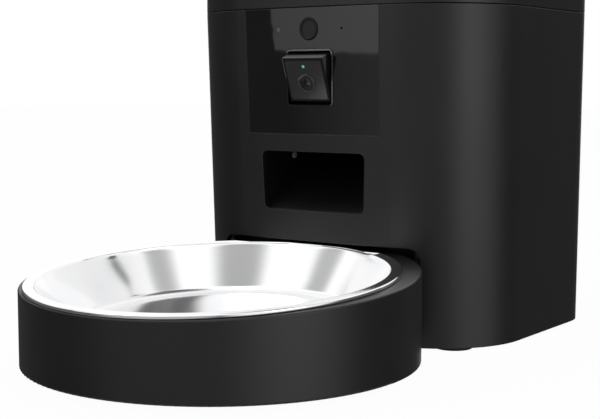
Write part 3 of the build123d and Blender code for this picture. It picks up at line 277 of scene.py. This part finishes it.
smoke_tank = plastic("smoke_tank", (0.45, 0.46, 0.47), 0.35, level=0.45)
rotor_white = plastic("rotor_white", (0.66, 0.66, 0.64), 0.4, level=0.45)
soft_white = plastic("soft_white", (0.7, 0.7, 0.68), 0.55, level=0.4, grain=1800.0, bump=0.08)
acetal = plastic("acetal", (0.72, 0.71, 0.66), 0.3, bump=0.02)
cell_foil = plastic("cell_foil", (0.03, 0.032, 0.04), 0.22, level=0.6, grain=600.0, bump=0.01)
dry_cloth = plastic("dry_cloth", (0.72, 0.72, 0.7), 0.85, level=0.2, grain=900.0, bump=0.4)
light_white = plastic("light_white", (0.09, 0.09, 0.092), 0.35)
sensor_clear = plastic("sensor_clear", (0.3, 0.3, 0.3), 0.25, level=0.6)
brushed = metal("brushed_steel", (0.58, 0.58, 0.59), 0.28, stretch=(1, 1, 12))
screw_steel = metal("screw_steel", (0.3, 0.3, 0.305), 0.3, scale=1500.0)
# The camera bezel's dark chrome, with a painted highlight on its top and right edges
dark_chrome_painted_highlight = painted_highlight_bezel()
polished = mirror_steel()
lens_glass = lens_coating()
green_led = lit_lens("green_led", (0.1, 0.42, 0.31), 0.85)
board_green = circuit_board()

looks = {
    body_black: ("lower_housing", "hopper_shell", "lid", "bowl_tray"),
    inner_black: (
        "bowl_recess", "base_plate", "rear_cover", "battery_door", "battery_box", "rotor_chamber",
        "chamber_cover", "gear_bracket", "camera_cradle", "desiccant_cup", "desiccant_cover",
        "microphone", "button_switch", "speaker", "power_inlet",
    ),
    chute_black: ("discharge_chute",),
    panel_black: ("front_panel",),
    glass_black: ("camera_glass", "lens_barrel"),
    head_black: ("camera_head",),
    button_black: ("feed_button",),
    rubber_black: ("rubber_feet", "tray_pads"),
    smoke_tank: ("food_tank", "tank_funnel", "tank_throat"),
    rotor_white: ("metering_rotor", "agitator"),
    soft_white: ("rotor_paddles", "lid_seal"),
    acetal: ("drive_gear", "pinion", "rotor_bush"),
    cell_foil: ("battery_cells",),
    dry_cloth: ("desiccant_pack",),
    light_white: ("indicator_window",),
    sensor_clear: ("chute_sensors",),
    brushed: ("motor", "rotor_shaft", "hinge_pin", "camera_pins", "battery_contacts", "bracket_screws"),
    screw_steel: ("housing_screws",),
    dark_chrome_painted_highlight: ("camera_bezel",),
    polished: ("steel_bowl",),
    lens_glass: ("lens_element",),
    green_led: ("status_led",),
    board_green: ("camera_board", "button_board", "main_board"),
}
for look, names in looks.items():
    for name in names:
        mesh = nodes[name].data
        mesh.materials.clear()
        mesh.materials.append(look)


# Mesh building, in millimetres

def piece(name, verts, faces, look, body, smooth=True):
    """A new piece of the object, riding on a CAD body."""
    mesh = bpy.data.meshes.new(name)
    mesh.from_pydata([tuple(v / MM_PER_M) for v in verts], [], faces)
    mesh.validate()
    mesh.materials.append(look)
    for face in mesh.polygons:
        face.use_smooth = smooth
    item = bpy.data.objects.new(name, mesh)
    scene.collection.objects.link(item)
    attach(item, body)
    return item


def round_faces(count, size, start=0):
    """Faces that join count closed profiles of size points, in a ring."""
    faces = []
    for step in range(count):
        near, far = start + step * size, start + (step + 1) % count * size
        for k in range(size):
            after = (k + 1) % size
            faces.append((near + k, near + after, far + after, far + k))
    return faces


def turned(name, profile, count, origin, up, look, body, smooth=True):
    """A piece made by turning a closed profile of (radius, height) about an axis."""
    axis = Vector(up).normalized()
    side = Vector((1, 0, 0))
    front = axis.cross(side).normalized()
    verts = []
    for step in range(count):
        turn = 2 * pi * step / count
        out = side * cos(turn) + front * sin(turn)
        verts += [Vector(origin) + out * r + axis * h for r, h in profile]
    return piece(name, verts, round_faces(count, len(profile)), look, body, smooth)


def arc(centre, radius, start, end, count):
    """Points on an arc, angles in degrees."""
    points = []
    for step in range(count + 1):
        turn = radians(start + (end - start) * step / count)
        points.append((centre[0] + radius * cos(turn), centre[1] + radius * sin(turn)))
    return points


# Finer pieces

def add_bowl():
    """The bowl, as one fine spun sheet: flat floor, straight wall, flat rim with a hem."""
    floor_r, depth, bend, sheet = 67.0, 21.5, 7.0, 0.8
    mouth_r, mouth_h, rim_r, rim_h = 83.4, 1.86, 89.0, 1.84
    round_r, hem = 0.6, 1.7
    centre_r = 0.05
    wall_top = mouth_h - sheet
    slope = atan2(wall_top + depth, mouth_r - floor_r)
    steep = degrees(slope)
    bend_c = (floor_r - bend * tan(slope / 2), -depth + bend)
    fall = (mouth_h - rim_h) / (rim_r - mouth_r)
    tilt = degrees(atan(fall))
    lift = round_r / cos(radians(tilt))
    mouth_c = (mouth_r + round_r, mouth_h - fall * round_r - lift)
    edge_c = (rim_r - round_r, mouth_h - fall * (rim_r - round_r - mouth_r) - lift)

    def wall(radius, steps):
        return [(radius - cos(slope) * d, wall_top - sin(slope) * d) for d in steps]

    inner = [(r, -depth) for r in (centre_r, 0.15, 0.5, 20, 45)]
    inner += arc(bend_c, bend, -90, -90 + steep, 14)
    inner += wall(mouth_r, (20.0, 14.0, 7.0, 2.5, 0.6))
    rim = arc(mouth_c, round_r, 178, 90 - tilt, 8)
    rim += [(r, mouth_h - fall * (r - mouth_r)) for r in (84.25, 85.5, 87.0, 88.2)]
    rim += arc(edge_c, round_r, 90 - tilt, 0, 6)
    rim += arc((rim_r - round_r, round_r), round_r, 0, -90, 5)
    rim += [(rim_r - hem, 0.0), (rim_r - hem, rim_h - sheet)]
    outer = [(mouth_r + sheet, wall_top - 0.1), (mouth_r + sheet - 0.1, wall_top - 0.4)]
    outer += wall(mouth_r + sheet - 0.15, (2.5, 10.0, 19.0))
    outer += arc(bend_c, bend + sheet, -90 + steep, -90, 8)
    outer += [(centre_r, -depth - sheet)]
    place, up = (0, -76.05, 43.546), (0, -0.06, 1)
    bowl = turned("spun_bowl", inner + rim + outer, 192, place, up, polished, "tray")
    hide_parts("steel_bowl")


def add_lens():
    """A raised ring round the lens, a stepped shade inside it and a domed front glass."""
    tilt = radians(20.3)
    place, ahead = (0, 0.114, 134.345), (0, -cos(tilt), -sin(tilt))
    ring = arc((4.75, 0.1), 0.38, 200, -20, 10)
    turned("lens_ring", ring, 72, place, ahead, glass_black, "camera")
    shade_r, shade_back, step_rise = 2.05, -1.15, 0.33
    shade = [(shade_r, -1.1)]
    for radius, height in ((2.3, -1.1), (2.56, -0.77), (2.82, -0.44)):
        shade += [(radius, height), (radius, height + step_rise)]
    shade += [(3.08, -0.11), (3.08, shade_back), (shade_r, shade_back)]
    turned("lens_shade", shade, 72, place, ahead, glass_black, "camera", smooth=False)
    dome = arc((0, -4.9), 4.25, 89.7, 62, 10) + [(2.0, -1.18), (0.02, -1.18)]
    turned("lens_dome", dome, 72, place, ahead, lens_glass, "camera")


def add_button_ring():
    """A dull ring round the button's dish."""
    profile = [(4.5, -0.45), (4.6, 0.0), (4.75, 0.06), (5.4, 0.06), (5.55, 0.0), (5.57, -0.3)]
    place, ahead = (0, 1.62, 162.1), (0, -1, 0)
    turned("button_ring", profile, 96, place, ahead, ring_black, "button")


def add_screws():
    """The housing's screws, with a cross recess in each head."""
    arm, half, recess = 1.7, 0.42, 0.9
    head_r, head_t, round_off, shank_r, centre_r = 2.9, 1.5, 0.35, 1.5, 0.02
    base_z, base_length = 1.4, 15.0
    back_y, rear_length = 156.65, 9.0
    screws = [((x, y, base_z), (0, 0, -1), base_length) for x in (-85.8, 85.8) for y in (56.65, 116.65)]
    screws += [((x, back_y, z), (0, 1, 0), rear_length) for x in (-59, 59) for z in (60.8, 144.0)]
    quarter = (0, 13.9, 21, 29, 37, 45, 53, 61, 69, 76.1)
    turns = [radians(90 * q + step) for q in range(4) for step in quarter]
    nearly_zero = 1e-9
    side = Vector((1, 0, 0))
    verts, faces = [], []
    for place, out, length in screws:
        axis = Vector(out)
        front = axis.cross(side)
        start = len(verts)
        for turn in turns:
            c, s = abs(cos(turn)) + nearly_zero, abs(sin(turn)) + nearly_zero
            cut = max(min(arm / c, half / s), min(arm / s, half / c))
            profile = [(centre_r, -recess), (cut * 0.8, -recess), (cut, 0), (head_r - round_off, 0)]
            profile += [(head_r, -round_off), (head_r, -head_t)]
            profile += [(shank_r, -head_t), (shank_r, -length), (centre_r, -length)]
            across = side * cos(turn) + front * sin(turn)
            verts += [Vector(place) + across * r + axis * h for r, h in profile]
        faces += round_faces(len(turns), len(profile), start)
    cross_screws = piece("cross_screws", verts, faces, screw_steel, "housing", smooth=False)
    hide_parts("housing_screws")


add_bowl()
add_lens()
add_button_ring()
add_screws()


# Floor and light

def add_floor():
    """A pale floor that the camera sees as nearly white."""
    reach, seen_glow = 6, 0.97
    mesh = bpy.data.meshes.new("floor")
    corners = [(-reach, -reach, 0), (reach, -reach, 0), (reach, reach, 0), (-reach, reach, 0)]
    mesh.from_pydata(corners, [], [(0, 1, 2, 3)])
    floor = bpy.data.objects.new("floor", mesh)
    floor.location.z = -0.0002
    floor.visible_glossy = False
    scene.collection.objects.link(floor)
    material, tree, shader = new_material("floor")
    shader.inputs["Base Color"].default_value = (0.82, 0.82, 0.82, 1)
    shader.inputs["Roughness"].default_value = 0.9
    shader.inputs["Specular IOR Level"].default_value = 0.1
    is_camera = node(tree, "LightPath").outputs["Is Camera Ray"]
    mix = node(tree, "MixShader")
    tree.links.new(figure(tree, "MULTIPLY", is_camera, seen_glow), mix.inputs["Fac"])
    tree.links.new(shader.outputs[0], mix.inputs[1])
    tree.links.new(node(tree, "Emission", Strength=1.0).outputs[0], mix.inputs[2])
    tree.links.new(mix.outputs[0], tree.nodes["Material Output"].inputs["Surface"])
    mesh.materials.append(material)


def lobe(tree, direction, heading, start, end, strength):
    """Brightness that rises where the sky's direction nears a heading."""
    dot = node(tree, "VectorMath", operation="DOT_PRODUCT")
    dot.inputs[1].default_value = heading
    tree.links.new(direction, dot.inputs[0])
    return ramp(tree, dot.outputs["Value"], start, end, 0.0, strength, "SMOOTHSTEP")


def dimmer(tree, value, shade):
    """A value with a soft dark patch in it."""
    return figure(tree, "MULTIPLY", value, figure(tree, "SUBTRACT", 1.0, shade))


def add_world():
    """White behind the object. Reflections see a studio that is white overhead and dim round the horizon."""
    horizon_glow, room_glow = 0.105, 0.72
    world = bpy.data.worlds.new("studio")
    world.use_nodes = True
    scene.world = world
    tree = world.node_tree
    background = tree.nodes["Background"]
    light_path = node(tree, "LightPath")
    direction = node(tree, "TexCoord").outputs["Generated"]
    horizon = node(tree, "Value")
    horizon.outputs[0].default_value = horizon_glow
    studio = horizon.outputs[0]
    for heading, start, end, strength in (
        ((0, 0, 1), 0.22, 0.5, 1.15),
        ((0.98, -0.2, 0), 0.72, 0.95, 1.0),
        ((0.1, -0.99, 0), 0.62, 0.92, 0.45),
        ((0, 0, -1), 0.4, 0.75, 0.4),
        ((-0.465, 0.874, 0.14), 0.895, 0.92, 1.1),
    ):
        studio = brighter(tree, studio, lobe(tree, direction, heading, start, end, strength))
    for heading, start, end, depth in (
        ((0.57, 0.0, 0.82), 0.98, 1.0, 0.6),
        ((0.09, -0.56, 0.83), 0.96, 1.0, 0.6),
        ((-0.73, -0.33, 0.6), 0.98, 1.0, 0.55),
        ((0.2, 0.27, 0.942), 0.93, 0.965, 0.9),
    ):
        studio = dimmer(tree, studio, lobe(tree, direction, heading, start, end, depth))
    mirrored = brighter(tree, light_path.outputs["Is Glossy Ray"], light_path.outputs["Is Transmission Ray"])
    plain = node(tree, "Mix", data_type="FLOAT")
    plain.inputs["A"].default_value = room_glow
    tree.links.new(mirrored, plain.inputs["Factor"])
    tree.links.new(studio, plain.inputs["B"])
    strength = brighter(tree, light_path.outputs["Is Camera Ray"], plain.outputs[0])
    background.inputs["Color"].default_value = (1, 1, 1, 1)
    tree.links.new(strength, background.inputs["Strength"])


def add_card(name, corners, near_glow, far_glow, one_sided=False):
    """A soft box with any four corners, whose glow goes from its first side to its second, where 1 is white.

    The camera doesn't see it. A one-sided card shows only in reflections that meet its front.
    """
    mesh = bpy.data.meshes.new(name)
    mesh.from_pydata(corners, [], [(0, 1, 2, 3)])
    along = mesh.uv_layers.new(name="along")
    for loop, place in zip(along.data, ((0, 0), (1, 0), (1, 1), (0, 1))):
        loop.uv = place
    card = bpy.data.objects.new(name, mesh)
    card.visible_camera = False
    scene.collection.objects.link(card)
    material, tree, _ = new_material(name)
    across = node(tree, "SeparateXYZ")
    tree.links.new(node(tree, "TexCoord").outputs["UV"], across.inputs[0])
    glow = node(tree, "Emission")
    tree.links.new(ramp(tree, across.outputs["X"], 0.0, 1.0, near_glow, far_glow), glow.inputs["Strength"])
    shown = glow.outputs[0]
    if one_sided:
        card.visible_diffuse = False
        card.visible_shadow = False
        card.visible_transmission = False
        mix = node(tree, "MixShader")
        tree.links.new(node(tree, "NewGeometry").outputs["Backfacing"], mix.inputs["Fac"])
        tree.links.new(shown, mix.inputs[1])
        tree.links.new(node(tree, "BsdfTransparent").outputs[0], mix.inputs[2])
        shown = mix.outputs[0]
    tree.links.new(shown, tree.nodes["Material Output"].inputs["Surface"])
    mesh.materials.append(material)


def add_lamp(name, place, aim, size, glow):
    """A soft box of a given size, as bright as glow where 1 is white."""
    data = bpy.data.lights.new(name, "AREA")
    data.shape = "RECTANGLE"
    data.size, data.size_y = size
    data.energy = glow * pi * size[0] * size[1]
    lamp = bpy.data.objects.new(name, data)
    turn = (Vector(aim) - Vector(place)).to_track_quat("-Z", "Y").to_matrix().to_4x4()
    lamp.matrix_world = Matrix.Translation(place) @ turn
    scene.collection.objects.link(lamp)


def add_cards():
    """The softbox that the panel mirrors, and fills in front of the body that the bowl mirrors."""
    front_corners = [
        (-0.602, -0.686, 0.128), (-0.218, -0.871, 0.112), (-0.338, -0.806, 0.72), (-0.68, -0.645, 0.75),
    ]
    add_card("front_card", front_corners, 0.9, 1.3)
    fill_y = -0.0008
    for name, corners, near_glow, far_glow in (
        ("left_fill", ((-0.12, 0.089), (-0.034, 0.083), (-0.034, 0.15), (-0.12, 0.13)), 1.1, 0.9),
        ("right_fill", ((-0.034, 0.083), (0.12, 0.056), (0.12, 0.36), (-0.034, 0.15)), 0.9, 1.1),
        ("low_left", ((-0.1, 0.036), (-0.012, 0.036), (-0.012, 0.0815), (-0.1, 0.0875)), 1.05, 1.05),
        ("low_right", ((-0.012, 0.036), (0.045, 0.036), (0.045, 0.05), (-0.012, 0.066)), 1.05, 1.05),
    ):
        add_card(name, [(x, fill_y, z) for x, z in corners], near_glow, far_glow, one_sided=True)


add_floor()
add_world()
add_lamp("right_box", (1.15, -0.3, 0.35), (0.05, 0, 0.15), (0.5, 0.9), 0.9)
add_cards()
add_lamp("top", (-0.5, -0.3, 1.5), (0, 0, 0.1), (0.7, 0.7), 1.6)
scene.view_settings.view_transform = "Standard"
